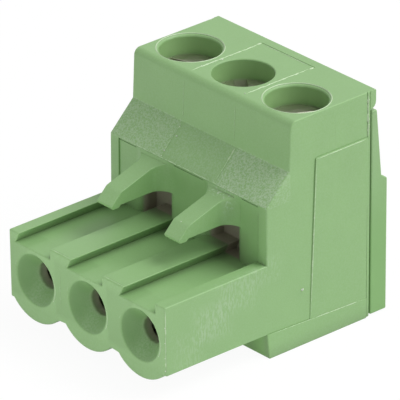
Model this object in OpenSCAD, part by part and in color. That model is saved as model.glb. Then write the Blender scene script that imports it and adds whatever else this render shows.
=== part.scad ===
// Pluggable terminal block with three poles, held by screws in tension sleeves.
// +X runs along the poles, +Y from the mating face to the wire side, +Z up.
// The origin is the middle of the footprint, on the surface the block stands on.

/* [Poles] */
// Distance between two poles
pitch = 5.08; // [4.95:0.01:5.3]

/* [Plug] */
// Length of the mating part, from its face to the shoulder wall
plug_len = 8.67; // [8.2:0.01:9.4]
// Height of the plug's flat underside over the sole of the foot
plug_lift = 1.8; // [1.6:0.05:2.3]
// Height of the plug, without the round tubes below it
plug_h = 4.9; // [4.75:0.05:5.3]
// Height of the pin axis over the plug's underside
pin_rise = 2.04; // [1.95:0.01:2.1]
// Radius of the round tubes under the plug
tube_r = 3.0; // [2.85:0.01:3.1]
// Radius of a pin funnel's mouth
funnel_r = 1.89; // [1.6:0.01:1.95]
// Depth of a pin funnel
funnel_depth = 1.25; // [1:0.05:1.4]
// Radius of the pin hole behind the funnel
pin_hole_r = 0.9; // [0.75:0.01:1]
// Length of the pin hole
pin_hole_len = 0.65; // [0.5:0.05:0.8]

/* [Coding channels] */
// Width of a coding channel
channel_w = 3.0; // [2.4:0.05:3.3]
// Depth of a coding channel
channel_depth = 0.7; // [0.4:0.05:0.75]
// Undercut at the left foot of a channel
channel_undercut = 0.35; // [0:0.05:0.4]

/* [Latch hooks] */
// Distance between the middles of the two hooks
hook_spacing = 6.5; // [6.2:0.05:7]
// Width of a hook
hook_w = 1.46; // [1.2:0.02:1.7]
// How far a hook reaches out of the shoulder wall
hook_reach = 4.24; // [3.6:0.02:4.8]
// Height of the gap between plug and hook
hook_gap = 1.8; // [1.6:0.05:2]
// How far the hook's beak points down
beak_drop = 0.15; // [0.1:0.05:0.5]
// Radius where a hook flares into the shoulder wall
flare_r = 1.1; // [0.8:0.05:1.2]
// Depth of the pocket under a hook, behind the wall's face
pocket_depth = 1.3; // [0.8:0.05:1.4]
// Radius of the pocket's upright edges
pocket_round = 0.6; // [0.3:0.05:0.7]

/* [Block] */
// Height of the shoulder wall over the plug
wall_h = 4.06; // [4:0.02:4.6]
// Length of the shoulder's slope, front to back
slope_run = 1.93; // [1.7:0.01:2.2]
// Height of the shoulder's slope
slope_rise = 1.92; // [1.6:0.04:2.4]
// Height of the block above the slope
block_h = 3.48; // [3.2:0.04:4.2]
// Depth of the block, from the top of the slope to the back face
block_depth = 7.08; // [6.9:0.02:7.6]
// Radius of the block's upper front edge
top_round = 0.5; // [0.2:0.05:0.6]
// Distance from the top of the slope to the screw axes
screw_set = 2.88; // [2.8:0.02:3]
// Height of the lip over the rear cover
lip_h = 1.3; // [1:0.05:1.6]
// How far the lip stands out of the back face
lip_depth = 0.49; // [0.35:0.01:0.6]
// How far the bare field on the right side stands proud
field_raise = 0.03; // [0.02:0.01:0.05]

/* [Screws] */
// Radius of the shank
shank_r = 1.5; // [1.3:0.05:1.6]
// Radius of the screw head
head_r = 1.9; // [1.75:0.05:2]
// Height of the screw head
head_h = 1.8; // [1.4:0.05:2]
// Depth of the head below the block's top
head_sink = 1.6; // [1.2:0.05:2]
// Width of the driver slot
slot_w = 0.8; // [0.5:0.05:1]
// Depth of the driver slot
slot_depth = 0.9; // [0.6:0.05:1]

/* [Tension sleeves] */
// Length of a sleeve along the wire
cage_len = 3.6; // [3.3:0.05:3.8]
// Thickness of a sleeve's sides and floor
cage_wall = 0.45; // [0.35:0.01:0.45]
// Thickness of a sleeve's threaded top
cage_top = 1.6; // [1.3:0.05:1.8]
// Room for the wire under the contact bar with the sleeve down
wire_room = 3.1; // [2.9:0.05:3.3]
// Lift of a sleeve from open to clamped
cage_lift = 2.5; // [2.2:0.05:2.7]

/* [Contacts] */
// Width of the contact bar
bar_w = 2.5; // [2.3:0.05:2.6]
// Thickness of the contact strip
bar_t = 0.7; // [0.6:0.05:0.85]
// Height of the bar's underside over the pin axis
bar_rise = 1.96; // [1.8:0.02:2.2]
// Thickness of a spring leg
leg_t = 0.4; // [0.3:0.05:0.45]
// Height of a spring leg
leg_h = 1.9; // [1.6:0.05:2]
// Gap between the spring legs where they grip the pin
grip_gap = 0.9; // [0.8:0.02:1]

/* [Rear cover] */
// Thickness of the cover at its upper edge
cover_t = 0.37; // [0.3:0.01:0.6]
// Thickness of the cover above its step
cover_mid_t = 0.82; // [0.65:0.01:1]
// Thickness of the cover round the wire entries
cover_thick = 1.32; // [1.15:0.01:1.7]
// Height of the step over the sole
cover_step = 9.55; // [9:0.05:10.4]
// Radius of a wire entry
wire_r = 1.5; // [1.3:0.05:1.55]
// Width and height of a wire entry's square mouth
mouth_w = 3.9; // [3.5:0.05:4.1]
// Depth of a wire entry's funnel
mouth_depth = 1.0; // [0.7:0.05:1.1]

/* [Fits] */
// Gap between a sleeve and its chamber
cage_gap = 0.15; // [0.1:0.01:0.2]
// Gap between a contact and its tunnel
contact_gap = 0.05; // [0.03:0.01:0.1]
// Gap between a shank and the holes round it
shank_gap = 0.08; // [0.05:0.01:0.1]
// Gap between a screw head and its bore
head_gap = 0.15; // [0.1:0.01:0.2]
// Gap between the cover's bosses and their chambers
boss_gap = 0.08; // [0.05:0.01:0.12]
// Open joint between housing and cover
seam = 0.15; // [0.1:0.01:0.2]

/* [Hidden] */
$fn = 48;
pole_count = 3;
poles = [for (i = [1:pole_count]) i];
slot_turns = [20, -35, 62];
eps = 0.01;
past = 1;
moulded_green = [0.46, 0.66, 0.38];
cover_green = [0.42, 0.62, 0.35];
tin = [0.80, 0.78, 0.70];
zinc = [0.72, 0.73, 0.74];

// Lengths along Y, counted from the mating face
face_draft = 0.10;
foot_draft = 0.18;
block_lean = 0.12;
wall_step = 0.1;
wall_seam = 0.12;
shelf_y = plug_len + slope_run;
body_back = shelf_y + block_depth;
screw_y = shelf_y + screw_set;
rim_len = 0.26;
groove = 0.06;
rim_y = body_back - rim_len;
side_back = rim_y - groove;
cover_front = body_back + seam;
cover_back = cover_front + cover_thick;
origin_y = cover_back / 2;

// Heights over the sole
pin_z = plug_lift + pin_rise;
plug_top = plug_lift + plug_h;
channel_z = plug_top - channel_depth;
slope_z = plug_top + wall_h;
shelf_z = slope_z + slope_rise;
top_z = shelf_z + block_h;
hook_under = plug_top + hook_gap;
hook_root_z = slope_z - 0.26;
hook_base = plug_len + wall_step + wall_seam + eps;
foot_fall = 0.35;

// Half widths
half_w = pole_count * pitch / 2;
side_inset = 0.05;
side_draft = 0.07;
cheek_w = 0.92;
pocket_half = hook_w / 2 + flare_r;

// The clamp of one pole, from the contact bar outwards
bar_z = pin_z + bar_rise;
bar_top = bar_z + bar_t;
bar_play = 0.1;
cage_floor = bar_z - wire_room;
cage_z = cage_floor - cage_wall;
cage_roof = bar_top + bar_play;
cage_inner = shank_r + 0.1;
cage_w = 2 * (cage_inner + cage_wall);
cage_top_z = cage_roof + cage_top;
wire_z = bar_z - wire_room / 2;
rest_gap = 0.2;
chamber_z = cage_z - rest_gap;
chamber_top = cage_top_z + cage_lift + rest_gap;
chamber_half = cage_w / 2 + cage_gap;
chamber_front = screw_y - cage_len / 2 - cage_gap;
cage_back = screw_y + cage_len / 2;
head_top = top_z - head_sink;
head_z = head_top - head_h;
head_seat = head_z - 0.1;
tip_z = bar_top + 0.03;
bore_r = head_r + head_gap;
hole_r = shank_r + shank_gap;
rim_chamfer = 0.2;
rim_depth = 0.12;

// The contact and its tunnel
tunnel_y = funnel_depth + pin_hole_len;
tunnel_half = bar_w / 2 + contact_gap;
leg_z = pin_z - leg_h / 2;
web_z = pin_z + leg_h / 2;
web_top = web_z + bar_t;
crank_y = chamber_front - 0.95;
crank_len = 0.85;
bar_end = cage_back + 0.35;

function pole_x(i) = (i - (pole_count + 1) / 2) * pitch;
function arc(cx, cy, r, a0, a1, steps) =
    [for (k = [0:steps]) let (a = a0 + (a1 - a0) * k / steps) [cx + r * cos(a), cy + r * sin(a)]];

// Moves a piece drawn from the mating face to the block's own origin
module placed() {
    translate([0, -origin_y, 0]) children();
}

// Extrudes a (y, z) outline along X, from x0 over a width
module across(x0, width) {
    translate([x0, 0, 0]) rotate([90, 0, 90]) linear_extrude(width) children();
}

// Extrudes an (x, z) outline along Y, from y0 over a length
module along(y0, length) {
    translate([0, y0 + length, 0]) rotate([90, 0, 0]) linear_extrude(length) children();
}

// A cylinder or cone along Y that starts at y0
module rod_y(x, y0, z, length, r0, r1) {
    translate([x, y0, z]) rotate([-90, 0, 0]) cylinder(h = length, r1 = r0, r2 = r1);
}

module box(low, high) {
    translate(low) cube(high - low);
}

// An upright rectangle with round corners, centred on x = 0
module soft_rect(w, z0, z1, r) {
    x = w / 2 - r;
    polygon(concat(arc(x, z0 + r, r, -90, 0, 4), arc(x, z1 - r, r, 0, 90, 4),
                   arc(-x, z1 - r, r, 90, 180, 4), arc(-x, z0 + r, r, 180, 270, 4)));
}

// Side outline of the moulding without its foot's overhang, as (y, z)
module housing_side() {
    polygon(concat(
        [[face_draft, plug_lift], [0, plug_top], [plug_len, plug_top], [plug_len, slope_z],
         [shelf_y, shelf_z]],
        arc(shelf_y + block_lean + top_round, top_z - top_round, top_round, 180, 90, 6),
        [[body_back, top_z], [body_back, 0], [plug_len + foot_draft, 0], [plug_len, plug_lift]]));
}

// Front outline of the moulding, as (x, z): its sides lean in towards the top
module housing_front(inset) {
    low = half_w - side_inset - inset;
    high = low - side_draft;
    polygon([[-low, 0], [low, 0], [high, top_z], [-high, top_z]]);
}

// A stretch of the moulding between two distances from the mating face
module housing_slice(y0, y1, inset) {
    intersection() {
        across(-half_w, 2 * half_w) housing_side();
        along(y0, y1 - y0) housing_front(inset);
    }
}

// The foot stands a little proud of the sides, and its top falls to the back
module foot() {
    across(-half_w, 2 * half_w)
        polygon([[plug_len + foot_draft, 0], [plug_len, plug_lift],
                 [side_back, plug_lift - foot_fall], [side_back, 0]]);
}

// Round undersides of the three pin tubes
module tubes() {
    intersection() {
        for (i = poles) rod_y(pole_x(i), 0, pin_z, plug_len + past, tube_r, tube_r);
        along(face_draft, plug_len + past - face_draft) housing_front(0);
        box([-half_w, 0, 0], [half_w, plug_len + past, pin_z]);
    }
}

// Bare field on the right side: its front edge leans, and it runs to the back
module side_field() {
    front = shelf_y + 1.79;
    lean = 0.46;
    field_top = shelf_z + 0.32;
    across(half_w - 4 * side_inset, 3 * side_inset + field_raise)
        polygon([[front, plug_lift - foot_fall], [side_back, plug_lift - foot_fall],
                 [side_back, field_top], [front + lean, field_top]]);
}

// Lip over the upper edge of the rear cover
module lip() {
    upper_r = 0.12;
    lower_r = lip_depth - 0.04;
    high = half_w - side_inset - side_draft;
    across(-high, 2 * high)
        polygon(concat(
            [[body_back - eps, top_z], [body_back - eps, top_z - lip_h]],
            arc(body_back + lip_depth - lower_r, top_z - lip_h + lower_r, lower_r, -90, 0, 6),
            arc(body_back + lip_depth - upper_r, top_z - upper_r, upper_r, 0, 90, 3)));
}

// Side outline of a latch hook: a sloping back, a bevelled nose and a beak
module hook_side() {
    tip_y = plug_len - hook_reach;
    nose_z = hook_under + 0.12;
    bevel = 0.8;
    bend_r = 0.5;
    bend = [tip_y + bevel, nose_z + bevel];
    slope = atan2(hook_root_z - bend[1], plug_len - bend[0]);
    cut = bend_r * tan((45 - slope) / 2);
    centre = bend + [bend_r - cut, -bend_r - cut] * sin(45);
    beak_z = hook_under - beak_drop;
    beak_r = 0.2;
    beak_len = 0.65;
    root_y = hook_base;
    polygon(concat(
        [[root_y, hook_under], [root_y, hook_root_z], [plug_len, hook_root_z]],
        arc(centre[0], centre[1], bend_r, 90 + slope, 135, 3),
        [[tip_y, nose_z]],
        arc(tip_y + beak_r, beak_z + beak_r, beak_r, 180, 270, 4),
        [[tip_y + beak_len, beak_z], [tip_y + beak_len + beak_drop, hook_under]]));
}

// Plan of a latch hook: a straight arm that flares into the wall at both sides
module hook_plan() {
    flare_y = plug_len + wall_step - flare_r;
    difference() {
        union() {
            translate([-hook_w / 2, 0]) square([hook_w, hook_base]);
            translate([-pocket_half, flare_y]) square([2 * pocket_half, hook_base - flare_y]);
        }
        for (side = [-1, 1])
            translate([side * pocket_half, flare_y]) circle(flare_r);
    }
}

module hooks() {
    for (side = [-1, 1])
        translate([side * hook_spacing / 2, 0, 0])
            intersection() {
                across(-pocket_half, 2 * pocket_half) hook_side();
                linear_extrude(top_z) hook_plan();
            }
}

// The three coding channels, undercut on their left, from the face over a length
module channels(length) {
    left = -channel_w / 2;
    for (i = poles)
        translate([pole_x(i), 0, 0])
            along(-past, length + past)
                polygon([[left - channel_undercut, channel_z], [-left, channel_z],
                         [-left, plug_top + past], [left, plug_top + past], [left, plug_top]]);
}

// Plan of the pocket under a hook: its upright edges are rounded
module pocket_plan() {
    face_y = plug_len + wall_step;
    difference() {
        translate([-pocket_half, plug_len - eps]) square([2 * pocket_half, pocket_depth + eps]);
        for (side = [-1, 1])
            translate([side * pocket_half, face_y + pocket_round]) {
                circle(pocket_round);
                translate([-pocket_round, 0]) square([2 * pocket_round, pocket_depth]);
            }
    }
}

// The shallow field of the shoulder wall, with a seam at its upper edge, and the pockets
module wall_hollows() {
    cheek_x = half_w - cheek_w;
    face_y = plug_len + wall_step;
    box([-cheek_x, plug_len - eps, plug_top], [cheek_x, face_y, hook_root_z]);
    box([-cheek_x, plug_len - eps, hook_root_z - wall_seam], [cheek_x, face_y + wall_seam, hook_root_z]);
    for (side = [-1, 1])
        intersection() {
            union() {
                channels(plug_len + pocket_depth);
                box([-half_w, 0, plug_top], [half_w, plug_len + pocket_depth, hook_under]);
            }
            translate([side * hook_spacing / 2, 0, 0]) linear_extrude(hook_under) pocket_plan();
        }
}

// Everything hollow in one pole, from the pin funnel to the screw bore
module pole_hollow(i) {
    x = pole_x(i);
    rod_y(x, 0, pin_z, funnel_depth, funnel_r, pin_hole_r);
    rod_y(x, -past, pin_z, past, funnel_r, funnel_r);
    rod_y(x, funnel_depth - eps, pin_z, pin_hole_len + 2 * eps, pin_hole_r, pin_hole_r);
    box([x - tunnel_half, tunnel_y, leg_z - contact_gap],
        [x + tunnel_half, chamber_front + eps, web_top + contact_gap]);
    box([x - tunnel_half, crank_y, leg_z - contact_gap],
        [x + tunnel_half, chamber_front + eps, bar_top + rest_gap]);
    box([x - chamber_half, chamber_front, chamber_z],
        [x + chamber_half, body_back + past, chamber_top]);
    translate([x, screw_y, chamber_top - eps])
        cylinder(h = head_seat - chamber_top + 2 * eps, r = hole_r);
    translate([x, screw_y, head_seat])
        cylinder(h = top_z - head_seat + past, r = bore_r);
    if (i == 1 || i == pole_count)
        translate([x, screw_y, top_z - rim_depth])
            cylinder(h = rim_depth + eps, r1 = bore_r, r2 = bore_r + rim_chamfer);
}

module housing() {
    color(moulded_green) placed() {
        difference() {
            union() {
                housing_slice(-past, side_back, 0);
                housing_slice(side_back - eps, rim_y + eps, groove);
                housing_slice(rim_y, body_back, groove / 2);
                foot();
                tubes();
                side_field();
                lip();
            }
            wall_hollows();
            channels(plug_len + wall_step);
            for (i = poles) pole_hollow(i);
            // Parting groove over the middle pole
            box([-pitch / 2, side_back, top_z - groove], [pitch / 2, rim_y, top_z + past]);
        }
        hooks();
    }
}

// Side outline of the rear cover, as (y, z)
module cover_side() {
    low = 0.1;
    high = top_z - lip_h - 0.12;
    step_fall = 0.35;
    polygon([[cover_front, low], [cover_back, low], [cover_back, cover_step],
             [cover_front + cover_mid_t, cover_step + step_fall],
             [cover_front + cover_t, high - 0.05], [cover_front, high]]);
}

// A boss of the cover, which fills the foot of one sleeve chamber behind the sleeve
module cover_boss(i) {
    half = chamber_half - boss_gap;
    box([pole_x(i) - half, bar_end + rest_gap, chamber_z + boss_gap],
        [pole_x(i) + half, cover_front + eps, bar_top + cage_wall]);
}

// A wire entry: a square funnel that narrows to a round hole
module wire_way(i) {
    reach = mouth_depth + past;
    mouth = mouth_w / 2 + (mouth_w / 2 - wire_r) * past / mouth_depth;
    neck_y = cover_back - mouth_depth;
    translate([pole_x(i), 0, wire_z])
        intersection() {
            translate([0, 0, -mouth])
                linear_extrude(2 * mouth)
                    polygon([[-wire_r, neck_y], [wire_r, neck_y],
                             [mouth, neck_y + reach], [-mouth, neck_y + reach]]);
            across(-mouth, 2 * mouth)
                polygon([[neck_y, -wire_r], [neck_y, wire_r],
                         [neck_y + reach, mouth], [neck_y + reach, -mouth]]);
        }
    rod_y(pole_x(i), bar_end, wire_z, neck_y - bar_end + eps, wire_r, wire_r);
}

module rear_cover() {
    half = half_w - side_inset;
    pad_rim = 0.5;
    color(cover_green) placed() difference() {
        union() {
            across(-half, 2 * half) cover_side();
            box([-half + pad_rim, body_back, pad_rim],
                [half - pad_rim, cover_front + eps, top_z - lip_h - pad_rim]);
            for (i = poles) cover_boss(i);
        }
        for (i = poles) wire_way(i);
    }
}

// A pin socket bent from one strip: two spring legs under a web, a crank and the clamp bar
module contact(i) {
    leg_x = bar_w / 2;
    grip_x = grip_gap / 2;
    mouth_y = tunnel_y + 0.3;
    grip_y = mouth_y + 1.4;
    straight_y = grip_y + 3.0;
    web_y = straight_y + 0.2;
    leg_end = crank_y - 0.8;
    color(tin) placed() translate([pole_x(i), 0, 0]) {
        for (side = [0, 1])
            mirror([side, 0, 0])
                translate([0, 0, leg_z])
                    linear_extrude(leg_h + eps)
                        polygon(concat(
                            [[leg_x - leg_t, leg_end], [leg_x - leg_t, straight_y]],
                            arc(grip_x + leg_t, grip_y, leg_t, 165, 215, 5),
                            [[leg_x - leg_t, mouth_y], [leg_x, mouth_y]],
                            arc(grip_x + leg_t + 0.05, grip_y, 0.08, 215, 165, 2),
                            [[leg_x, straight_y], [leg_x, leg_end]]));
        across(-leg_x, bar_w)
            polygon([[web_y, web_z], [crank_y + 0.05, web_z], [crank_y + 0.05 + crank_len, bar_z],
                     [bar_end, bar_z], [bar_end, bar_top],
                     [crank_y + 0.05 + crank_len - 0.1, bar_top], [crank_y - 0.05, web_top],
                     [web_y, web_top]]);
    }
}

// A tension sleeve: a bent steel frame with a threaded top and a grooved floor
module cage(i) {
    outer_r = 0.35;
    groove_half = cage_inner - 0.15;
    groove_step = 0.9;
    groove_depth = 0.2;
    color(zinc) placed() translate([pole_x(i), 0, 0]) difference() {
        along(cage_back - cage_len, cage_len)
            difference() {
                soft_rect(cage_w, cage_z, cage_top_z, outer_r);
                translate([-cage_inner, cage_floor]) square([2 * cage_inner, cage_roof - cage_floor]);
            }
        translate([0, screw_y, cage_roof - eps]) cylinder(h = cage_top + past, r = hole_r);
        for (k = [-1:1])
            across(-groove_half, 2 * groove_half)
                polygon([[screw_y + groove_step * k, cage_floor - groove_depth],
                         [screw_y + groove_step * k + groove_depth, cage_floor + eps],
                         [screw_y + groove_step * k - groove_depth, cage_floor + eps]]);
    }
}

// A slotted cheese-head screw, turned in one piece
module screw(i) {
    edge = 0.2;
    color(zinc) placed() translate([pole_x(i), screw_y, 0]) difference() {
        rotate_extrude()
            polygon([[0, tip_z], [shank_r - edge, tip_z], [shank_r, tip_z + edge],
                     [shank_r, head_z], [head_r, head_z], [head_r, head_top - edge],
                     [head_r - edge, head_top], [0, head_top]]);
        rotate([0, 0, slot_turns[i - 1]])
            translate([-past - head_r, -slot_w / 2, head_top - slot_depth])
                cube([2 * (past + head_r), slot_w, slot_depth + past]);
    }
}

housing();
rear_cover();
for (i = poles) {
    contact(i);
    cage(i);
    screw(i);
}
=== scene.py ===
"""Looks of the pluggable terminal block: soft moulded edges, green polyamide,
zinc plated screws and sleeves, tinned contacts."""

import math

import bmesh
import bpy
from mathutils import Matrix, Vector, noise
from mathutils.bvhtree import BVHTree


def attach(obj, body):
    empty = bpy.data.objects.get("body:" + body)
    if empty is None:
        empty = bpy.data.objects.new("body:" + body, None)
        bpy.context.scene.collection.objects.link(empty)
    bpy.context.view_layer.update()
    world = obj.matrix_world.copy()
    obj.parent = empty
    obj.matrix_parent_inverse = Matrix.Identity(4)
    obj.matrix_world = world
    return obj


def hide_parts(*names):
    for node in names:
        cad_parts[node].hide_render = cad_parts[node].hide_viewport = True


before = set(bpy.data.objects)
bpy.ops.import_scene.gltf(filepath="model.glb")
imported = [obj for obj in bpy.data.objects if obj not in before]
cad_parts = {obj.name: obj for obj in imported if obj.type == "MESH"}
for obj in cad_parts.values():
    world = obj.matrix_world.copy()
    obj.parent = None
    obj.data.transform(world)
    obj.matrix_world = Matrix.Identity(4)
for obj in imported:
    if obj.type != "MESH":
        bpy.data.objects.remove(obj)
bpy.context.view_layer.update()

MM = 0.001
PITCH_MM = 5.08
PITCH = PITCH_MM * MM
POLES = (1, 2, 3)
SIDES = (-1, 0, 1)
BLOCK = "block"


def in_mm(x, y, z):
    """A point or a size given in millimetres, as a vector in metres."""
    return Vector((x, y, z)) * MM


# ---------------------------------------------------------------- camera

def look_from(azimuth, elevation, roll, place, lens):
    """A camera at a place, aimed by its azimuth and elevation in degrees."""
    a, e, r = (math.radians(v) for v in (azimuth, elevation, roll))
    back = Vector((math.sin(a) * math.cos(e), -math.cos(a) * math.cos(e), math.sin(e)))
    right = Vector((math.cos(a), math.sin(a), 0))
    up = back.cross(right)
    right, up = (
        right * math.cos(r) + up * math.sin(r),
        up * math.cos(r) - right * math.sin(r),
    )
    data = bpy.data.cameras.new("camera")
    data.sensor_width = 36
    data.lens = lens
    data.clip_start = 0.01
    data.clip_end = 20
    camera = bpy.data.objects.new("camera", data)
    camera.matrix_world = Matrix.Translation(place) @ Matrix((right, up, back)).transposed().to_4x4()
    bpy.context.collection.objects.link(camera)
    bpy.context.scene.camera = camera


look_from(azimuth=48.22, elevation=26.54, roll=-0.17, place=(0.28192, -0.25172, 0.19710), lens=591.5)


# ---------------------------------------------------------------- shader groups

def node(tree, kind, **settings):
    made = tree.nodes.new(kind)
    for key, value in settings.items():
        setattr(made, key, value)
    return made


def join(tree, *pairs):
    for start, end in pairs:
        tree.links.new(start, end)


def math_node(tree, operation, first, second=None, clamp=False):
    """A Math node; each operand is a socket or a number."""
    made = node(tree, "ShaderNodeMath", operation=operation, use_clamp=clamp)
    for socket, value in zip(made.inputs, (first, second)):
        if isinstance(value, bpy.types.NodeSocket):
            tree.links.new(value, socket)
        elif value is not None:
            socket.default_value = value
    return made.outputs[0]


def new_group(name, inputs, outputs):
    """A node group with (name, kind, default) inputs and (name, kind) outputs."""
    tree = bpy.data.node_groups.new(name, "ShaderNodeTree")
    for title, kind, default in inputs:
        socket = tree.interface.new_socket(title, in_out="INPUT", socket_type="NodeSocket" + kind)
        socket.default_value = default
    for title, kind in outputs:
        tree.interface.new_socket(title, in_out="OUTPUT", socket_type="NodeSocket" + kind)
    return tree, node(tree, "NodeGroupInput").outputs, node(tree, "NodeGroupOutput").inputs


def make_patch_group():
    """Mask of a soft-edged box, given its centre and half size in metres."""
    tree, given, out = new_group(
        "patch",
        [("Centre", "Vector", (0, 0, 0)), ("Half", "Vector", (1, 1, 1)), ("Softness", "Float", 0.1)],
        [("Mask", "Float")],
    )
    place = node(tree, "ShaderNodeTexCoord").outputs["Object"]
    away = node(tree, "ShaderNodeVectorMath", operation="SUBTRACT")
    size = node(tree, "ShaderNodeVectorMath", operation="ABSOLUTE")
    share = node(tree, "ShaderNodeVectorMath", operation="DIVIDE")
    parts = node(tree, "ShaderNodeSeparateXYZ")
    join(
        tree,
        (place, away.inputs[0]),
        (given["Centre"], away.inputs[1]),
        (away.outputs[0], size.inputs[0]),
        (size.outputs[0], share.inputs[0]),
        (given["Half"], share.inputs[1]),
        (share.outputs[0], parts.inputs[0]),
    )
    widest = math_node(tree, "MAXIMUM", parts.outputs[0], parts.outputs[1])
    widest = math_node(tree, "MAXIMUM", widest, parts.outputs[2])
    edge = node(tree, "ShaderNodeMapRange", interpolation_type="SMOOTHSTEP")
    edge.inputs["To Min"].default_value = 1
    edge.inputs["To Max"].default_value = 0
    join(
        tree,
        (widest, edge.inputs["Value"]),
        (math_node(tree, "SUBTRACT", 1.0, given["Softness"]), edge.inputs["From Min"]),
        (math_node(tree, "ADD", 1.0, given["Softness"]), edge.inputs["From Max"]),
        (edge.outputs[0], out["Mask"]),
    )
    return tree


def make_grain_group():
    """Fine grain of a spark-eroded mould: a height and a speckle that change over the surface."""
    tree, given, out = new_group(
        "mould_grain",
        [("Scale", "Float", 9000.0), ("Roughness", "Float", 0.6)],
        [("Height", "Float"), ("Speckle", "Float")],
    )
    place = node(tree, "ShaderNodeTexCoord").outputs["Object"]
    bumps = node(tree, "ShaderNodeTexNoise")
    bumps.inputs["Detail"].default_value = 3
    spots = node(tree, "ShaderNodeTexNoise")
    spots.inputs["Detail"].default_value = 1
    sharpen = node(tree, "ShaderNodeMapRange")
    sharpen.inputs["From Min"].default_value = 0.35
    sharpen.inputs["From Max"].default_value = 0.72
    join(
        tree,
        (place, bumps.inputs["Vector"]),
        (given["Scale"], bumps.inputs["Scale"]),
        (given["Roughness"], bumps.inputs["Roughness"]),
        (place, spots.inputs["Vector"]),
        (math_node(tree, "MULTIPLY", given["Scale"], 0.83), spots.inputs["Scale"]),
        (bumps.outputs["Fac"], out["Height"]),
        (spots.outputs["Fac"], sharpen.inputs["Value"]),
        (sharpen.outputs[0], out["Speckle"]),
    )
    return tree


def make_streak_group():
    """Streaks for rubbed marks and for the painted edge highlight: noise stretched along one axis, cut off at
    a threshold.
    """
    tree, given, out = new_group(
        "rub_and_highlight_streaks",
        [("Stretch", "Vector", (1000, 1000, 1000)), ("Threshold", "Float", 0.6)],
        [("Mask", "Float")],
    )
    place = node(tree, "ShaderNodeTexCoord").outputs["Object"]
    stretch = node(tree, "ShaderNodeVectorMath", operation="MULTIPLY")
    streaks = node(tree, "ShaderNodeTexNoise")
    streaks.inputs["Scale"].default_value = 1
    streaks.inputs["Detail"].default_value = 4
    streaks.inputs["Roughness"].default_value = 0.62
    cut = node(tree, "ShaderNodeMapRange", interpolation_type="SMOOTHSTEP")
    join(
        tree,
        (place, stretch.inputs[0]),
        (given["Stretch"], stretch.inputs[1]),
        (stretch.outputs[0], streaks.inputs["Vector"]),
        (streaks.outputs["Fac"], cut.inputs["Value"]),
        (given["Threshold"], cut.inputs["From Min"]),
        (math_node(tree, "ADD", given["Threshold"], 0.16), cut.inputs["From Max"]),
        (cut.outputs[0], out["Mask"]),
    )
    return tree


def make_turning_group():
    """Fine rings left by a lathe, round an upright axis at a given place."""
    tree, given, out = new_group(
        "turned_rings",
        [("Axis", "Vector", (0, 0, 0)), ("Rings", "Float", 50000.0)],
        [("Height", "Float"), ("Shade", "Float")],
    )
    place = node(tree, "ShaderNodeTexCoord").outputs["Object"]
    away = node(tree, "ShaderNodeVectorMath", operation="SUBTRACT")
    flat = node(tree, "ShaderNodeVectorMath", operation="MULTIPLY")
    flat.inputs[1].default_value = (1, 1, 0)
    reach = node(tree, "ShaderNodeVectorMath", operation="LENGTH")
    blotch = node(tree, "ShaderNodeTexNoise")
    blotch.inputs["Scale"].default_value = 1400
    blotch.inputs["Detail"].default_value = 3
    join(
        tree,
        (place, away.inputs[0]),
        (given["Axis"], away.inputs[1]),
        (away.outputs[0], flat.inputs[0]),
        (flat.outputs[0], reach.inputs[0]),
        (place, blotch.inputs["Vector"]),
        (blotch.outputs["Fac"], out["Shade"]),
    )
    turns = math_node(tree, "MULTIPLY", reach.outputs["Value"], given["Rings"])
    wave = math_node(tree, "SINE", turns)
    join(tree, (math_node(tree, "MULTIPLY_ADD", wave, 0.5), out["Height"]))
    return tree


def make_recess_group():
    """Mask of narrow recesses, from how much of the surroundings a point sees within a reach."""
    tree, given, out = new_group("recess", [("Reach", "Float", 0.002)], [("Mask", "Float")])
    seen = node(tree, "ShaderNodeAmbientOcclusion", samples=6)
    closed = node(tree, "ShaderNodeMapRange", interpolation_type="SMOOTHSTEP")
    closed.inputs["From Min"].default_value = 0.78
    closed.inputs["From Max"].default_value = 0.10
    join(
        tree,
        (given["Reach"], seen.inputs["Distance"]),
        (seen.outputs["AO"], closed.inputs["Value"]),
        (closed.outputs[0], out["Mask"]),
    )
    return tree


def make_facing_group():
    """Mask of surfaces that face towards a direction."""
    tree, given, out = new_group("facing", [("Towards", "Vector", (0, 0, 1))], [("Mask", "Float")])
    normal = node(tree, "ShaderNodeTexCoord").outputs["Normal"]
    share = node(tree, "ShaderNodeVectorMath", operation="DOT_PRODUCT")
    edge = node(tree, "ShaderNodeMapRange", interpolation_type="SMOOTHSTEP")
    edge.inputs["From Min"].default_value = 0.45
    edge.inputs["From Max"].default_value = 0.85
    join(
        tree,
        (normal, share.inputs[0]),
        (given["Towards"], share.inputs[1]),
        (share.outputs["Value"], edge.inputs["Value"]),
        (edge.outputs[0], out["Mask"]),
    )
    return tree


PATCH = make_patch_group()
GRAIN = make_grain_group()
STREAKS_FOR_RUB_AND_HIGHLIGHT = make_streak_group()
TURNING = make_turning_group()
RECESS = make_recess_group()
FACING = make_facing_group()


# ---------------------------------------------------------------- materials

SHADE_BROWN = (0.060, 0.062, 0.046, 1)
RECESS_REACH = 2.2 * MM
GRAIN_SCALE = 11000.0
GRAIN_DEPTH = 0.006 * MM
FINE_GRAIN_SHARE, COARSE_GRAIN_SHARE = 0.35, 1.6
MOTTLE_SHARE, SPECKLE_SHARE = 0.10, 0.62
PLATING_DEPTH = 0.003 * MM
# Direction that the painted edge highlight faces, and the stretch of its streaks
HIGHLIGHT_TOWARDS = (0.66, -0.30, 0.69)
HIGHLIGHT_STRETCH = (2600, 2600, 2600)


def new_material(name):
    material = bpy.data.materials.new(name)
    material.use_nodes = True
    tree = material.node_tree
    tree.nodes.clear()
    surface = node(tree, "ShaderNodeBsdfPrincipled")
    output = node(tree, "ShaderNodeOutputMaterial")
    join(tree, (surface.outputs[0], output.inputs["Surface"]))
    return material, tree, surface.inputs


def placed_group(tree, group, **values):
    """A group node with its own values; an underscore in a name stands for a space."""
    made = node(tree, "ShaderNodeGroup", node_tree=group)
    for key, value in values.items():
        made.inputs[key.replace("_", " ")].default_value = value
    return made.outputs


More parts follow.
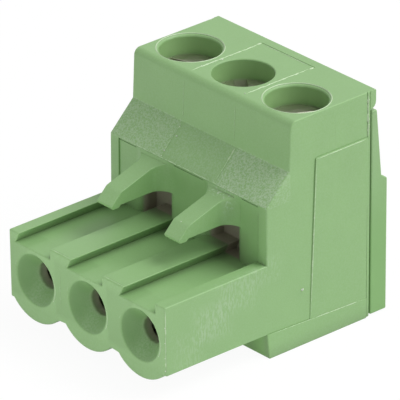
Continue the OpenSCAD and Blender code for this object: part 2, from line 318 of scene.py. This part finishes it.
def mix_colour(tree, share, first, second):
    made = node(tree, "ShaderNodeMix", data_type="RGBA")
    for socket, value in ((made.inputs[0], share), (made.inputs[6], first), (made.inputs[7], second)):
        if isinstance(value, bpy.types.NodeSocket):
            tree.links.new(value, socket)
        else:
            socket.default_value = value
    return made.outputs[2]


def bump(tree, surface, height, distance):
    made = node(tree, "ShaderNodeBump")
    made.inputs["Distance"].default_value = distance
    made.inputs["Strength"].default_value = 1
    join(tree, (height, made.inputs["Height"]), (made.outputs[0], surface["Normal"]))


def sheen_between(tree, surface, low, high, speckle):
    """Roughness that wanders from low to high with a speckle."""
    sheen = node(tree, "ShaderNodeMapRange")
    sheen.inputs["To Min"].default_value = low
    sheen.inputs["To Max"].default_value = high
    join(tree, (speckle, sheen.inputs["Value"]), (sheen.outputs[0], surface["Roughness"]))


def product(tree, first, *others):
    """Masks and shares multiplied together."""
    for other in others:
        first = math_node(tree, "MULTIPLY", first, other)
    return first


def moulded_plastic(
    name, green, grain_patches=(), rub_patches=(), tone_patches=(), highlight_share=0.0, recess_shade_share=0.6
):
    """Polyamide: a cloudy green with fine grain, and painted shade that darkens it in recesses.

    grain_patches: (centre, half, strength) of coarser grain
    rub_patches: (centre, half, stretch, threshold, share) of pale rubbed streaks
    tone_patches: (centre, half, softness, share, tone) of a colour laid over the rest; on the housing these
    are painted shade and painted light
    highlight_share: share of painted highlight, in pale streaks, on what faces up, right and outwards
    """
    material, tree, surface = new_material(name)
    pale = tuple(0.55 * c + 0.45 for c in green[:3]) + (1,)
    deep = tuple(0.90 * c for c in green[:3]) + (1,)
    place = node(tree, "ShaderNodeTexCoord").outputs["Object"]
    cloud = node(tree, "ShaderNodeTexNoise")
    cloud.inputs["Scale"].default_value = 420
    cloud.inputs["Detail"].default_value = 3
    join(tree, (place, cloud.inputs["Vector"]))
    fine = placed_group(tree, GRAIN, Scale=GRAIN_SCALE)
    coarse = placed_group(tree, GRAIN, Scale=GRAIN_SCALE, Roughness=0.8)
    colour = mix_colour(tree, cloud.outputs["Fac"], deep, green)
    colour = mix_colour(tree, product(tree, fine["Speckle"], MOTTLE_SHARE), colour, pale)
    height = product(tree, fine["Height"], FINE_GRAIN_SHARE)
    for centre, half, strength in grain_patches:
        mask = placed_group(tree, PATCH, Centre=centre, Half=half, Softness=0.06)["Mask"]
        mask = product(tree, mask, strength)
        colour = mix_colour(tree, product(tree, coarse["Speckle"], mask, SPECKLE_SHARE), colour, pale)
        height = math_node(tree, "ADD", height, product(tree, coarse["Height"], mask, COARSE_GRAIN_SHARE))
    for centre, half, stretch, threshold, share in rub_patches:
        mask = placed_group(tree, PATCH, Centre=centre, Half=half, Softness=0.5)["Mask"]
        streak = placed_group(tree, STREAKS_FOR_RUB_AND_HIGHLIGHT, Stretch=stretch, Threshold=threshold)["Mask"]
        colour = mix_colour(tree, product(tree, mask, streak, share), colour, pale)
    # Painted highlight: pale streaks where edges face up, right and a little to the front
    if highlight_share:
        highlight_streak_mask = placed_group(tree, STREAKS_FOR_RUB_AND_HIGHLIGHT, Stretch=HIGHLIGHT_STRETCH, Threshold=0.30)["Mask"]
        facing = placed_group(tree, FACING, Towards=HIGHLIGHT_TOWARDS)["Mask"]
        colour = mix_colour(tree, product(tree, highlight_streak_mask, facing, highlight_share), colour, pale)
    # Painted shade: recesses darkened towards a shade brown
    recess = placed_group(tree, RECESS, Reach=RECESS_REACH)["Mask"]
    colour = mix_colour(tree, product(tree, recess, recess_shade_share), colour, SHADE_BROWN)
    for centre, half, softness, share, tone in tone_patches:
        mask = placed_group(tree, PATCH, Centre=centre, Half=half, Softness=softness)["Mask"]
        colour = mix_colour(tree, product(tree, mask, share), colour, tone)
    join(tree, (colour, surface["Base Color"]))
    sheen_between(tree, surface, 0.36, 0.50, fine["Speckle"])
    surface["IOR"].default_value = 1.5
    bump(tree, surface, height, GRAIN_DEPTH)
    return material


def plated_metal(name, tone, axis=None, low=0.22, high=0.42):
    """Zinc or tin: blotchy sheen, and lathe rings where the piece was turned."""
    material, tree, surface = new_material(name)
    surface["Metallic"].default_value = 1
    dull = tuple(0.78 * c for c in tone[:3]) + (1,)
    blotch = placed_group(tree, TURNING, Axis=axis or (0, 0, 0))
    grain = placed_group(tree, GRAIN, Scale=5200.0)
    height = blotch["Height"] if axis else grain["Height"]
    join(tree, (mix_colour(tree, blotch["Shade"], dull, tone), surface["Base Color"]))
    sheen_between(tree, surface, low, high, grain["Speckle"])
    bump(tree, surface, height, PLATING_DEPTH)
    return material


# ---------------------------------------------------------------- soft edges

FLAT_FOLD = math.radians(4)
TINY_EDGE = 0.09 * MM
GROWTH_ALONG = 0.2


def crease_limits(bm, corner):
    """How far each convex sharp edge may be rounded before it meets what lies beside it."""
    folds = {e: e.calc_face_angle() for e in bm.edges if len(e.link_faces) == 2}
    sharp = {e for e, angle in folds.items() if angle > corner}
    limits = {}
    for edge in sharp:
        if not edge.is_convex:
            continue
        room = 1.0
        start, end = edge.verts[0].co, edge.verts[1].co
        along = (end - start).normalized()
        for face in edge.link_faces:
            for other in face.edges:
                if other is edge or folds.get(other, 0) < FLAT_FOLD:
                    continue
                if set(other.verts) & set(edge.verts):
                    if other not in sharp or other.calc_length() < TINY_EDGE:
                        continue
                    turn = (other.verts[1].co - other.verts[0].co).normalized().cross(along).length
                    if turn > 0.5:
                        room = min(room, other.calc_length() * turn)
                    continue
                middle = (start + end) / 2
                a, b = other.verts[0].co, other.verts[1].co
                share = max(0.0, min(1.0, (middle - a).dot(b - a) / max((b - a).length_squared, 1e-18)))
                room = min(room, (a + (b - a) * share - middle).length)
        limits[edge] = room
    return even_out(limits)


def even_out(limits):
    """Limits that change gently along a run of edges, so that a rounding fades and doesn't step."""
    beside = {}
    for edge in limits:
        along = (edge.verts[1].co - edge.verts[0].co).normalized()
        beside[edge] = [
            (other, GROWTH_ALONG * min(edge.calc_length(), other.calc_length()))
            for vert in edge.verts
            for other in vert.link_edges
            if other is not edge and other in limits
            and (other.verts[1].co - other.verts[0].co).normalized().cross(along).length < 0.75
        ]
    changed = True
    while changed:
        changed = False
        for edge, others in beside.items():
            for other, growth in others:
                if limits[edge] > limits[other] + growth + 1e-7:
                    limits[edge] = limits[other] + growth
                    changed = True
    return limits


def softened(source, radius, corner=33, segments=3, share=0.42, edge_slot=0, reshape=None):
    """A copy of a CAD node with its outer edges rounded, in its own mesh."""
    bm = bmesh.new()
    bm.from_mesh(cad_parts[source].data)
    bmesh.ops.remove_doubles(bm, verts=bm.verts, dist=0.0002 * MM)
    if reshape:
        for vert in bm.verts:
            reshape(vert.co)
    bmesh.ops.dissolve_limit(
        bm, angle_limit=math.radians(0.4), verts=bm.verts, edges=bm.edges, delimit=set()
    )
    weight = bm.edges.layers.float.new("bevel_weight_edge")
    for edge, room in crease_limits(bm, math.radians(corner)).items():
        edge[weight] = min(1.0, share * room / radius)
    for edge in bm.edges:
        if len(edge.link_faces) == 2 and edge.calc_face_angle() > math.radians(corner):
            edge.smooth = False
    mesh = bpy.data.meshes.new(source)
    bm.to_mesh(mesh)
    bm.free()
    rounded = bpy.data.objects.new("soft_" + source, mesh)
    bpy.context.collection.objects.link(rounded)
    edges = rounded.modifiers.new("round", "BEVEL")
    edges.limit_method = "WEIGHT"
    edges.width = radius
    edges.segments = segments
    edges.material = edge_slot
    edges.use_clamp_overlap = False
    edges.loop_slide = False
    edges.harden_normals = True
    bpy.context.view_layer.update()
    evaluated = rounded.evaluated_get(bpy.context.evaluated_depsgraph_get())
    rounded.data = bpy.data.meshes.new_from_object(evaluated)
    rounded.modifiers.clear()
    return rounded


# ---------------------------------------------------------------- flash, parting lines, painted highlights and painted shade lines, and flakes

def surface_of(piece):
    """The piece's surface, for finding where a line lies on it."""
    bm = bmesh.new()
    bm.from_mesh(piece.data)
    bmesh.ops.triangulate(bm, faces=bm.faces)
    tree = BVHTree.FromBMesh(bm)
    bm.free()
    return tree


def sew(bm, rows, closed=False):
    """Joins rows of three points into one solid bead."""
    pairs = list(zip(rows, rows[1:])) + ([(rows[-1], rows[0])] if closed else [])
    for first, second in pairs:
        for k in range(3):
            bm.faces.new((first[k], first[(k + 1) % 3], second[(k + 1) % 3], second[k]))
    if not closed:
        bm.faces.new(rows[0][::-1])
        bm.faces.new(rows[-1])


def bead(bm, tree, start, end, aim, width, height, wander=0.0, patchy=0.3, seed=0.0):
    """A thin bead on the surface from start to end, in millimetres, laid along aim."""
    start, end, aim = Vector(start), Vector(end), Vector(aim)
    steps = max(3, int((end - start).length / 0.11))
    side = (end - start).normalized().cross(aim).normalized()
    rows = []
    for k in range(steps + 1):
        share = k / steps
        shift = wander * noise.noise(Vector((k * 0.31, seed, 0.5)))
        place = (start.lerp(end, share) + side * shift) * MM
        hit, normal, _, _ = tree.ray_cast(place - aim * MM, aim, 2.5 * MM)
        if hit is None:
            continue
        swell = max(0.15, 1 + patchy * 2 * noise.noise(Vector((k * 0.57, seed, 7.5))))
        taper = min(1.0, 5 * min(share, 1 - share) + 0.2)
        half = side * (width / 2 * swell * taper * MM)
        sunk = hit - normal * (0.012 * MM)
        rows.append([
            bm.verts.new(sunk - half),
            bm.verts.new(hit + normal * (height * swell * taper * MM)),
            bm.verts.new(sunk + half),
        ])
    if len(rows) > 1:
        sew(bm, rows)


def ring_bead(bm, centre, across, up, radius, width, height, arc=(0, 360), seed=0.0):
    """A bead round a mouth; across and up span its plane, arc is in degrees."""
    centre, across, up = Vector(centre), Vector(across), Vector(up)
    out = across.cross(up)
    closed = arc[1] - arc[0] >= 360
    steps = 72
    rows = []
    for k in range(steps if closed else steps + 1):
        turn = math.radians(arc[0] + (arc[1] - arc[0]) * k / steps)
        spoke = across * math.cos(turn) + up * math.sin(turn)
        swell = 1 + 0.5 * noise.noise(Vector((math.cos(turn) * 3, math.sin(turn) * 3, seed)))
        if not closed:
            swell *= min(1.0, 6 * min(k, steps - k) / steps + 0.15)
        foot = centre - out * 0.012
        rows.append([
            bm.verts.new((foot + spoke * (radius - width / 2)) * MM),
            bm.verts.new((centre + spoke * radius + out * height * swell) * MM),
            bm.verts.new((foot + spoke * (radius + width / 2)) * MM),
        ])
    sew(bm, rows, closed)


def flake(bm, tree, place, aim, size, seed):
    """A crumb of flash on the surface."""
    aim = Vector(aim)
    hit, normal, _, _ = tree.ray_cast(Vector(place) * MM - aim * MM, aim, 2.5 * MM)
    if hit is None:
        return
    made = bmesh.ops.create_icosphere(bm, subdivisions=1, radius=size * MM)
    for vert in made["verts"]:
        swell = 1 + 0.9 * noise.noise(vert.co * 9000 + Vector((seed, seed, seed)))
        vert.co = hit + vert.co * swell


def as_piece(name, bm):
    bmesh.ops.recalc_face_normals(bm, faces=bm.faces)
    mesh = bpy.data.meshes.new(name)
    bm.to_mesh(mesh)
    bm.free()
    piece = bpy.data.objects.new(name, mesh)
    bpy.context.collection.objects.link(piece)
    return piece


def dress(piece, source, body, slot, *materials):
    """Gives a piece its materials and makes it stand for a CAD node."""
    piece.data.materials.clear()
    for material in materials:
        piece.data.materials.append(material)
    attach(piece, body)
    if source:
        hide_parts(source)
    return piece


# ---------------------------------------------------------------- the block

GREEN = (0.335, 0.585, 0.240, 1)
COVER_GREEN = (0.340, 0.575, 0.252, 1)
# Next: pale green for flash and for the painted highlights on edges and rims
FLASH_AND_HIGHLIGHT_GREEN = (0.66, 0.86, 0.55, 1)
CRUMB_GREEN = (0.86, 0.93, 0.80, 1)
# Next: dark green for parting lines and for the painted shade lines along steps
LINE_GREEN = (0.18, 0.33, 0.125, 1)
ZINC = (0.62, 0.63, 0.62, 1)
SCREW_GREY = (0.50, 0.485, 0.40, 1)
TIN = (0.66, 0.62, 0.52, 1)

# Tones for patches. All but COVER_FOOT_GREEN are painted: shade on the shoulder wall, in the pockets,
# funnels, bores and tunnels, and light on the front of the foot
WALL_FOOT_SHADE = (0.145, 0.125, 0.105, 1)
POCKET_SHADE_BROWN = (0.36, 0.31, 0.26, 1)
FOOT_LIGHT_GREEN = (0.34, 0.66, 0.20, 1)
COVER_FOOT_GREEN = (0.25, 0.50, 0.165, 1)
DEEP_SHADE_GREEN = (0.20, 0.37, 0.14, 1)
TUNNEL_SHADE = (0.54, 0.51, 0.41, 1)
BORE_SHADE_GREY = (0.50, 0.52, 0.40, 1)
BORE_SHADE_GREEN = (0.33, 0.56, 0.23, 1)

SCREW_Y_MM = 3.905
SCREW_Y = SCREW_Y_MM * MM
FUNNEL_Z_MM = 3.84

SLOPE_HALF = in_mm(2.42, 1.05, 1.02)
STROKES = Vector((3000, 8500, 2600))
SCRATCHES = Vector((5200, 5200, 5200))

coarse_patches = [
    (in_mm(side * PITCH_MM, 0.06, 11.72), SLOPE_HALF, strength)
    for side, strength in zip(SIDES, (0.75, 0.30, 1.0))
] + [
    (in_mm(side * PITCH_MM + 0.3, -8.6, 3.0), in_mm(1.7, 0.82, 1.2), 0.8)
    for side in SIDES
]
rub_patches = [
    (in_mm(7.5, -7.6, 3.0), in_mm(0.3, 1.3, 1.3), STROKES, 0.46, 0.16),
    (in_mm(7.5, -5.6, 4.3), in_mm(0.3, 1.4, 1.2), STROKES, 0.42, 0.26),
    (in_mm(7.5, -3.4, 5.6), in_mm(0.3, 1.5, 1.2), STROKES, 0.44, 0.22),
    (in_mm(7.5, -1.0, 6.4), in_mm(0.3, 1.2, 0.9), STROKES, 0.46, 0.18),
    (in_mm(3.4, -0.9, 10.2), in_mm(0.9, 0.5, 0.6), SCRATCHES, 0.50, 0.8),
]
# Painted shade at the foot of the shoulder wall beside the hooks, on the wall between and right of the hooks,
# and in the pockets under them; painted light on the front of the foot
tone_patches = [
    (in_mm(-3.0, -0.6, 7.2), in_mm(1.0, 0.7, 1.0), 0.8, 0.55, WALL_FOOT_SHADE),
    (in_mm(3.8, -0.6, 7.1), in_mm(1.4, 0.7, 0.9), 0.8, 0.55, WALL_FOOT_SHADE),
    (in_mm(-0.2, -0.8, 8.7), in_mm(1.9, 0.5, 1.8), 0.6, 0.5, DEEP_SHADE_GREEN),
    (in_mm(5.8, -0.8, 8.4), in_mm(1.1, 0.5, 1.9), 0.6, 0.45, DEEP_SHADE_GREEN),
    (in_mm(0, 0.9, 7.1), in_mm(5.8, 1.5, 1.7), 0.08, 0.85, POCKET_SHADE_BROWN),
    (in_mm(0, -0.9, 0.85), in_mm(7.3, 0.30, 0.88), 0.08, 0.85, FOOT_LIGHT_GREEN),
]
# Painted shade in the funnel and more on its left side, milder painted shade in the screw bore above and
# below, and a paler brown painted shade in the tunnel
for x in (side * PITCH_MM for side in SIDES):
    tone_patches += [
        (in_mm(x, -8.7, FUNNEL_Z_MM), in_mm(2.1, 0.75, 2.1), 0.05, 0.56, DEEP_SHADE_GREEN),
        (in_mm(x - 1.9, -8.7, 4.1), in_mm(1.0, 0.75, 1.6), 0.4, 0.85, DEEP_SHADE_GREEN),
        (in_mm(x, SCREW_Y_MM, 15.0), in_mm(2.12, 2.12, 1.0), 0.06, 0.85, BORE_SHADE_GREEN),
        (in_mm(x, SCREW_Y_MM, 13.2), in_mm(2.12, 2.12, 1.5), 0.1, 0.7, BORE_SHADE_GREY),
        (in_mm(x, -4.6, FUNNEL_Z_MM), in_mm(1.2, 3.6, 1.2), 0.1, 0.8, TUNNEL_SHADE),
    ]
cover_tones = [(in_mm(7.6, 9.0, 2.5), in_mm(1.5, 3.0, 6.0), 0.7, 0.8, COVER_FOOT_GREEN)]

# Housing green with painted shade in recesses, and painted shade and painted light from its tone patches
green = moulded_plastic("green_polyamide", GREEN, coarse_patches, rub_patches, tone_patches)
# Material of the bevel faces: green with a painted edge highlight
highlit_edges_green = moulded_plastic("painted_edge_highlight", GREEN, highlight_share=0.9)
cover_green = moulded_plastic("cover_polyamide", COVER_GREEN, tone_patches=cover_tones, recess_shade_share=0.3)
# Pale flash with painted highlights, crumbs of flash, and dark parting lines with painted shade lines
flash_and_highlight_green = moulded_plastic("flash_and_painted_highlight", FLASH_AND_HIGHLIGHT_GREEN)
crumb_green = moulded_plastic("flash_crumb", CRUMB_GREEN)
line_green = moulded_plastic("shade_and_parting_line", LINE_GREEN)
tin = plated_metal("tinned_strip", TIN)
zinc = plated_metal("zinc_plated_strip", ZINC)


def raise_seam(point):
    """The seam and the hook roots lie close under the slope; the grooves are shallow."""
    top_groove = point.y > 7.7 * MM and 16.08 * MM < point.z < 16.12 * MM and abs(point.x) < 2.6 * MM
    seam = 10.36 * MM < point.z < 10.52 * MM and -0.92 * MM < point.y < -0.6 * MM
    if top_groove:
        point.z = 16.135 * MM
    if seam:
        point.z += 0.15 * MM
        if point.y > -0.75 * MM:
            point.y = -0.765 * MM


def close_joint(point):
    """The cover's front edge lies close to the housing."""
    if 8.2 * MM < point.y < 8.262 * MM:
        point.y -= 0.09 * MM


def raise_head(point):
    """The head stands a little higher in its bore."""
    if point.z > 13.0 * MM:
        point.z += 0.34 * MM


# Bevel faces take the material with the painted edge highlight
HIGHLIGHT_SLOT = 1
housing = softened("housing", 0.10 * MM, edge_slot=HIGHLIGHT_SLOT, reshape=raise_seam)
dress(housing, "housing", BLOCK, "green_plastic", green, highlit_edges_green)
cover = softened("rear_cover", 0.09 * MM, edge_slot=HIGHLIGHT_SLOT, reshape=close_joint)
dress(cover, "rear_cover", BLOCK, "cover_plastic", cover_green, highlit_edges_green)
for pole in POLES:
    contact, cage, screw = f"contact_{pole}", f"cage_{pole}", f"screw_{pole}"
    axis = ((pole - 2) * PITCH, SCREW_Y, 0)
    dress(softened(contact, 0.05 * MM), contact, BLOCK, "tinned_contact", tin)
    dress(softened(cage, 0.06 * MM), cage, f"cage_body_{pole}", "plated_steel", zinc)
    turned = plated_metal(f"turned_{screw}", SCREW_GREY, axis, 0.30, 0.42)
    head_up = softened(screw, 0.07 * MM, reshape=raise_head)
    dress(head_up, screw, f"screw_body_{pole}", "screw_steel", turned)


# ---------------------------------------------------------------- parting lines, flash, painted highlights and painted shade lines on the housing

skin = surface_of(housing)
DOWN, BACK, LEFT = (0, 0, -1), (0, 1, 0), (-1, 0, 0)
pale_lines, dark_lines, crumbs = bmesh.new(), bmesh.new(), bmesh.new()

# Joints of the mould between the poles: on the top, the upper front and the slope
for x, top_height, seed in ((-2.45, 0.045, 1.0), (2.45, 0.03, 5.0)):
    bead(pale_lines, skin, (x, 1.6, 16.1), (x, 7.75, 16.1), DOWN, 0.09, top_height, 0.05, 0.45, seed)
    bead(dark_lines, skin, (x + 0.08, 1.7, 16.1), (x + 0.08, 7.7, 16.1), DOWN, 0.05, 0.004, 0.05, 0.3, seed)
    bead(dark_lines, skin, (x - 0.12, 1.1, 12.75), (x - 0.12, 1.2, 15.7), BACK, 0.075, 0.004, 0.03, 0.3, seed)
    bead(pale_lines, skin, (x - 0.18, 1.1, 12.75), (x - 0.18, 1.2, 15.7), BACK, 0.03, 0.004, 0.03, 0.8, seed)
bead(dark_lines, skin, (-2.58, 0.95, 12.5), (-2.58, -0.86, 10.9), DOWN, 0.07, 0.004, 0.08, 0.3, 2.0)
bead(pale_lines, skin, (-2.66, 0.95, 12.5), (-2.66, -0.80, 10.9), DOWN, 0.05, 0.015, 0.08, 0.9, 3.0)
bead(pale_lines, skin, (2.50, 0.98, 12.5), (2.50, 0.30, 12.0), DOWN, 0.14, 0.05, 0.05, 0.4, 6.0)
bead(pale_lines, skin, (2.50, 0.45, 12.1), (2.50, -0.80, 10.9), DOWN, 0.06, 0.015, 0.05, 0.6, 8.0)
bead(dark_lines, skin, (2.58, 0.95, 12.5), (2.58, -0.80, 10.9), DOWN, 0.05, 0.004, 0.05, 0.4, 9.0)

# Foot of the slope, over the wall and the hook roots
bead(dark_lines, skin, (-6.9, -0.9, 10.70), (6.85, -0.9, 10.70), BACK, 0.06, 0.004, 0.02, 0.3, 40.0)
bead(pale_lines, skin, (-6.9, -0.9, 10.76), (6.85, -0.9, 10.76), BACK, 0.045, 0.010, 0.03, 0.8, 41.0)

# Ends of the groove over the middle pole
for x in (-2.50, 2.50):
    bead(pale_lines, skin, (x, 7.35, 16.1), (x, 7.78, 16.1), DOWN, 0.20, 0.05, 0.0, 0.2, x)
bead(pale_lines, skin, (-2.4, 7.73, 16.1), (2.4, 7.73, 16.1), DOWN, 0.09, 0.03, 0.0, 0.3, 4.0)

# Joint of the mould on the mating face, and behind the front edge of the ribs
bead(dark_lines, skin, (-2.56, -9.5, 2.6), (-2.56, -9.5, 5.6), BACK, 0.06, 0.004, 0.04, 0.3, 11.0)
bead(pale_lines, skin, (-2.62, -9.5, 2.6), (-2.62, -9.5, 5.9), BACK, 0.03, 0.004, 0.04, 0.8, 12.0)
for low_x, high_x in ((-3.45, -1.58), (1.63, 3.45)):
    bead(dark_lines, skin, (low_x, -9.40, 6.6), (high_x, -9.40, 6.6), DOWN, 0.06, 0.004, 0.02, 0.3, low_x)
    bead(pale_lines, skin, (low_x, -9.46, 6.6), (high_x, -9.46, 6.6), DOWN, 0.05, 0.015, 0.02, 0.6, high_x)

# Right cheek of the shoulder wall, with painted shade beside its inner edge and a painted highlight on that
# edge, and the faint end of the flare beside it
bead(dark_lines, skin, (6.74, -0.95, 7.0), (6.74, -0.95, 10.5), BACK, 0.08, 0.004, 0.0, 0.2, 14.0)
bead(pale_lines, skin, (6.64, -0.85, 7.4), (6.64, -0.85, 10.5), BACK, 0.07, 0.02, 0.0, 0.4, 15.0)
bead(dark_lines, skin, (4.96, -0.85, 8.4), (4.96, -0.85, 10.4), BACK, 0.06, 0.003, 0.0, 0.3, 16.0)

# Bare field on the right side: a dark bead outside its front edge, painted shade at the foot of its step, and
# pale beads on its border, painted highlights on its edges
bead(dark_lines, skin, (7.6, 2.76, 1.75), (7.6, 3.22, 12.9), LEFT, 0.07, 0.003, 0.0, 0.2, 17.0)
bead(pale_lines, skin, (7.6, 2.88, 1.75), (7.6, 3.34, 12.9), LEFT, 0.09, 0.02, 0.0, 0.4, 18.0)
bead(pale_lines, skin, (7.6, 3.30, 12.92), (7.6, 7.7, 12.92), LEFT, 0.08, 0.018, 0.0, 0.3, 19.0)
bead(pale_lines, skin, (7.6, -0.7, 1.76), (7.6, 7.7, 1.44), LEFT, 0.05, 0.012, 0.0, 0.4, 20.0)
bead(pale_lines, skin, (7.6, 7.92, 12.9), (7.6, 7.92, 16.0), LEFT, 0.16, 0.07, 0.05, 0.4, 21.0)
bead(dark_lines, skin, (7.5, 5.02, 13.2), (7.5, 5.02, 15.6), LEFT, 0.04, 0.002, 0.0, 0.3, 22.0)

# Slightly raised pale rings on the rims of the outer screw bores, and pale arcs on the upper side of the rims
# of the pin funnels: painted highlights
for side in (-1, 1):
    mouth = (side * PITCH_MM, SCREW_Y_MM, 16.16)
    ring_bead(pale_lines, mouth, (1, 0, 0), (0, 1, 0), 2.24, 0.085, 0.026, seed=side)
for side in SIDES:
    mouth = (side * PITCH_MM, -9.53, FUNNEL_Z_MM)
    ring_bead(pale_lines, mouth, (1, 0, 0), (0, 0, 1), 1.98, 0.05, 0.008, (-25, 165), side)

# Crumbs of flash: place, aim and size in millimetres
CORNER = (-0.7, 0.7, 0)
for number, (place, aim, size) in enumerate((
    ((-2.6, 0.75, 12.4), DOWN, 0.05),
    ((-2.35, 0.30, 12.0), DOWN, 0.065),
    ((-2.62, -0.55, 11.1), DOWN, 0.05),
    ((-2.60, -0.82, 10.9), DOWN, 0.045),
    ((7.6, 2.15, 4.0), LEFT, 0.10),
    ((-2.30, 4.2, 16.1), DOWN, 0.05),
    ((-2.52, 2.6, 16.1), DOWN, 0.045),
    ((2.40, 1.9, 16.1), DOWN, 0.04),
    ((7.50, -9.52, 5.3), CORNER, 0.05),
    ((7.50, -9.52, 4.2), CORNER, 0.035),
    ((7.50, -9.52, 3.1), CORNER, 0.04),
    ((7.50, -9.50, 2.2), CORNER, 0.045),
    ((6.66, -0.85, 9.2), BACK, 0.035),
    ((3.2, -4.3, 9.6), DOWN, 0.03),
)):
    flake(crumbs, skin, place, aim, size, number * 3.1)

# Pale, slightly raised bead on the front right edge of the plug: a painted highlight along that edge
bead(pale_lines, skin, (7.53, -9.53, 6.6), (7.55, -9.48, 1.9), CORNER, 0.075, 0.010, 0.01, 0.25, 50.0)

# Pale beads: flash and painted highlights; dark beads: parting lines and painted shade
dress(as_piece("pale_flash_and_highlights", pale_lines), None, BLOCK, "green_plastic", flash_and_highlight_green)
dress(as_piece("parting_and_shade_lines", dark_lines), None, BLOCK, "green_plastic", line_green)
dress(as_piece("flash_crumbs", crumbs), None, BLOCK, "green_plastic", crumb_green)


# ---------------------------------------------------------------- floor, world and lamps

def seen_directly(tree):
    """1 for rays from the camera, off gloss or through glass, else 0."""
    path = node(tree, "ShaderNodeLightPath").outputs
    seen = math_node(tree, "MAXIMUM", path["Is Camera Ray"], path["Is Glossy Ray"])
    return math_node(tree, "MAXIMUM", seen, path["Is Transmission Ray"])


WORLD_LEVEL = 0.45
FLOOR_PAPER = (0.85, 0.85, 0.85, 1)
FLOOR_SHADE = (0.07, 0.07, 0.07, 1)
FLOOR_GLOW = 0.945
FLOOR_REACH = 1.5


def make_floor():
    """A white floor that keeps the block's shadow; the block gets plain bounce off it."""
    mesh = bpy.data.meshes.new("floor")
    reach = FLOOR_REACH
    mesh.from_pydata(
        [(-reach, -reach, 0), (reach, -reach, 0), (reach, reach, 0), (-reach, reach, 0)], [], [(0, 1, 2, 3)]
    )
    floor = bpy.data.objects.new("floor", mesh)
    bpy.context.collection.objects.link(floor)
    material = bpy.data.materials.new("white_floor")
    material.use_nodes = True
    tree = material.node_tree
    tree.nodes.clear()
    paper = node(tree, "ShaderNodeBsdfDiffuse")
    paper.inputs["Color"].default_value = FLOOR_PAPER
    shade = node(tree, "ShaderNodeBsdfDiffuse")
    shade.inputs["Color"].default_value = FLOOR_SHADE
    glow = node(tree, "ShaderNodeEmission")
    glow.inputs["Strength"].default_value = FLOOR_GLOW
    both = node(tree, "ShaderNodeAddShader")
    pick = node(tree, "ShaderNodeMixShader")
    output = node(tree, "ShaderNodeOutputMaterial")
    join(
        tree,
        (shade.outputs[0], both.inputs[0]),
        (glow.outputs[0], both.inputs[1]),
        (seen_directly(tree), pick.inputs[0]),
        (paper.outputs[0], pick.inputs[1]),
        (both.outputs[0], pick.inputs[2]),
        (pick.outputs[0], output.inputs["Surface"]),
    )
    mesh.materials.append(material)


def make_world(strength):
    """Plain light all round, and white behind everything."""
    world = bpy.data.worlds.new("studio")
    bpy.context.scene.world = world
    world.use_nodes = True
    tree = world.node_tree
    tree.nodes.clear()
    air = node(tree, "ShaderNodeBackground")
    output = node(tree, "ShaderNodeOutputWorld")
    seen = seen_directly(tree)
    level = math_node(tree, "MULTIPLY_ADD", seen, 1 - strength)
    level.node.inputs[2].default_value = strength
    join(tree, (level, air.inputs["Strength"]), (air.outputs[0], output.inputs[0]))


def softbox(name, direction, distance, size, power, glossy=True):
    """A square lamp that hangs in a direction from the block and faces it."""
    data = bpy.data.lights.new(name, "AREA")
    data.shape = "SQUARE"
    data.size = size
    data.energy = power
    lamp = bpy.data.objects.new(name, data)
    target = Vector((0, 0, 8 * MM))
    aim = Vector(direction).normalized()
    lamp.location = target + aim * distance
    lamp.rotation_mode = "QUATERNION"
    lamp.rotation_quaternion = aim.to_track_quat("Z", "Y")
    lamp.visible_glossy = glossy
    bpy.context.collection.objects.link(lamp)


make_floor()
make_world(WORLD_LEVEL)
softbox("key_softbox", direction=(0.45, 0.42, 0.80), distance=0.6, size=0.40, power=2.45)
softbox("low_card", direction=(0.0, -1.0, -0.10), distance=0.036, size=0.008, power=0.0018, glossy=False)

scene = bpy.context.scene
scene.view_settings.view_transform = "Standard"
